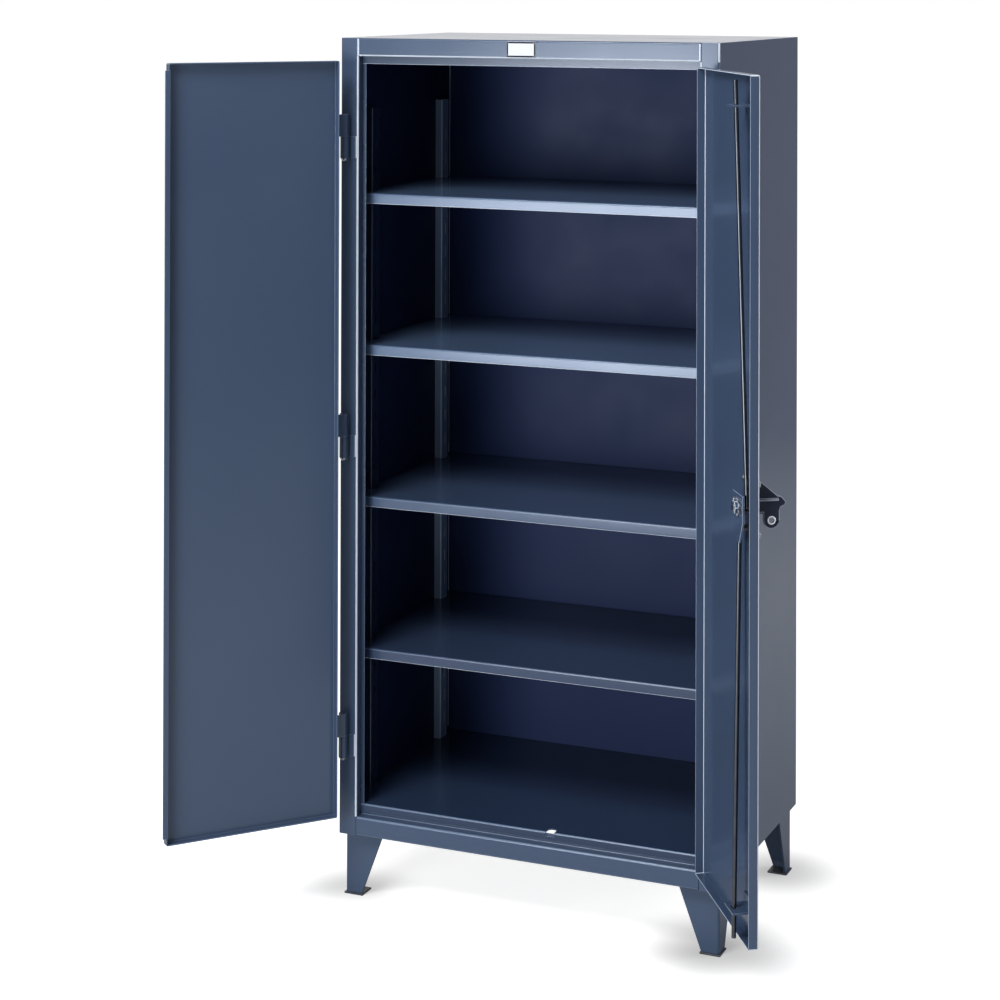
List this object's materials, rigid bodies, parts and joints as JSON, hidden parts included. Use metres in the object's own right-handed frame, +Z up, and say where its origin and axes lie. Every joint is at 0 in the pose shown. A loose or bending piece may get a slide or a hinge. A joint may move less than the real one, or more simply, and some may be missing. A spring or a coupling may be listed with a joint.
{
  "type": "tool storage cabinet",
  "caption": "Tall steel storage cabinet on tapered legs, with two hinged doors, adjustable shelves and a padlockable turn handle working lock rods.",
  "frame": {"origin": "middle of the bounding box's base at rest, with both doors open: on the floor, in the middle of the width, half way between the back and the furthest reach of the open doors", "axes": "+Z up, along the height; the front faces -Y; +X is to the right seen from the front"},
  "size_m": [1.4116, 1.0103, 1.9812],
  "materials": {
    "case_paint": "gloss",
    "shelf_paint": "gloss",
    "black_paint": "satin",
    "foot_steel": "matte",
    "bright_steel": "zinc plated",
    "plate_face": "satin"
  },
  "bodies": {
    "case": {"left_side": "case_paint", "right_side": "case_paint", "back_panel": "case_paint", "top_panel": "case_paint", "sill_rail": "case_paint", "floor_panel": "case_paint", "left_stop": "case_paint", "right_stop": "case_paint", "header_stop": "case_paint", "upright_front_left": "case_paint", "upright_front_right": "case_paint", "upright_rear_left": "case_paint", "upright_rear_right": "case_paint", "shelf_1": "shelf_paint", "shelf_2": "shelf_paint", "shelf_3": "shelf_paint", "shelf_4": "shelf_paint", "shelf_clips_1": "bright_steel", "shelf_clips_2": "bright_steel", "shelf_clips_3": "bright_steel", "shelf_clips_4": "bright_steel", "leg_front_left": "case_paint", "leg_front_right": "case_paint", "leg_rear_left": "case_paint", "leg_rear_right": "case_paint", "foot_front_left": "foot_steel", "foot_front_right": "foot_steel", "foot_rear_left": "foot_steel", "foot_rear_right": "foot_steel", "left_stile_knuckles": "case_paint", "right_stile_knuckles": "case_paint", "left_hinge_pins": "bright_steel", "right_hinge_pins": "bright_steel", "nameplate": "plate_face", "nameplate_rivets": "plate_face"},
    "left_door": {"left_door_pan": "case_paint", "left_door_knuckles": "case_paint", "astragal": "case_paint"},
    "right_door": {"right_door_pan": "case_paint", "right_door_knuckles": "case_paint", "door_stiffeners": "case_paint", "upper_guide": "case_paint", "lower_guide": "case_paint", "spindle_bush": "bright_steel", "handle_plate": "black_paint", "plate_bolts": "bright_steel", "padlock_bracket": "black_paint"},
    "handle": {"handle_lever": "black_paint", "spindle": "bright_steel", "latch_cam": "bright_steel", "cam_washer": "bright_steel", "cam_nut": "bright_steel"},
    "upper_rod": {"upper_rod": "bright_steel", "upper_rod_clip": "bright_steel"},
    "lower_rod": {"lower_rod": "bright_steel", "lower_rod_clip": "bright_steel"}
  },
  "joints": [
    {"name": "left_door_hinge", "type": "hinge", "parent": "case", "child": "left_door", "pos_m": [-0.4392, -0.11932, 1.0671], "axis": [0, 0, -1], "range_deg": [-130, 50]},
    {"name": "right_door_hinge", "type": "hinge", "parent": "case", "child": "right_door", "pos_m": [0.4392, -0.11932, 1.0671], "axis": [0, 0, 1], "range_deg": [-123.2, 56.8]},
    {"name": "handle_turn", "type": "hinge", "parent": "right_door", "child": "handle", "pos_m": [0.64782, -0.43812, 1.0671], "axis": [-0.8368, -0.5476, 0], "range_deg": [0, 90]},
    {"name": "upper_rod_pivot", "type": "hinge", "parent": "handle", "child": "upper_rod", "pos_m": [0.6357, -0.47713, 1.0671], "axis": [-0.8368, -0.5476, 0], "range_deg": [-93, 1]},
    {"name": "lower_rod_pivot", "type": "hinge", "parent": "handle", "child": "lower_rod", "pos_m": [0.60723, -0.43362, 1.0671], "axis": [-0.8368, -0.5476, 0], "range_deg": [-93, 1]}
  ],
  "couplings": [
    {"joint": "upper_rod_pivot", "follows": "handle_turn", "ratio": -1.0206},
    {"joint": "lower_rod_pivot", "follows": "handle_turn", "ratio": -1.0206}
  ]
}
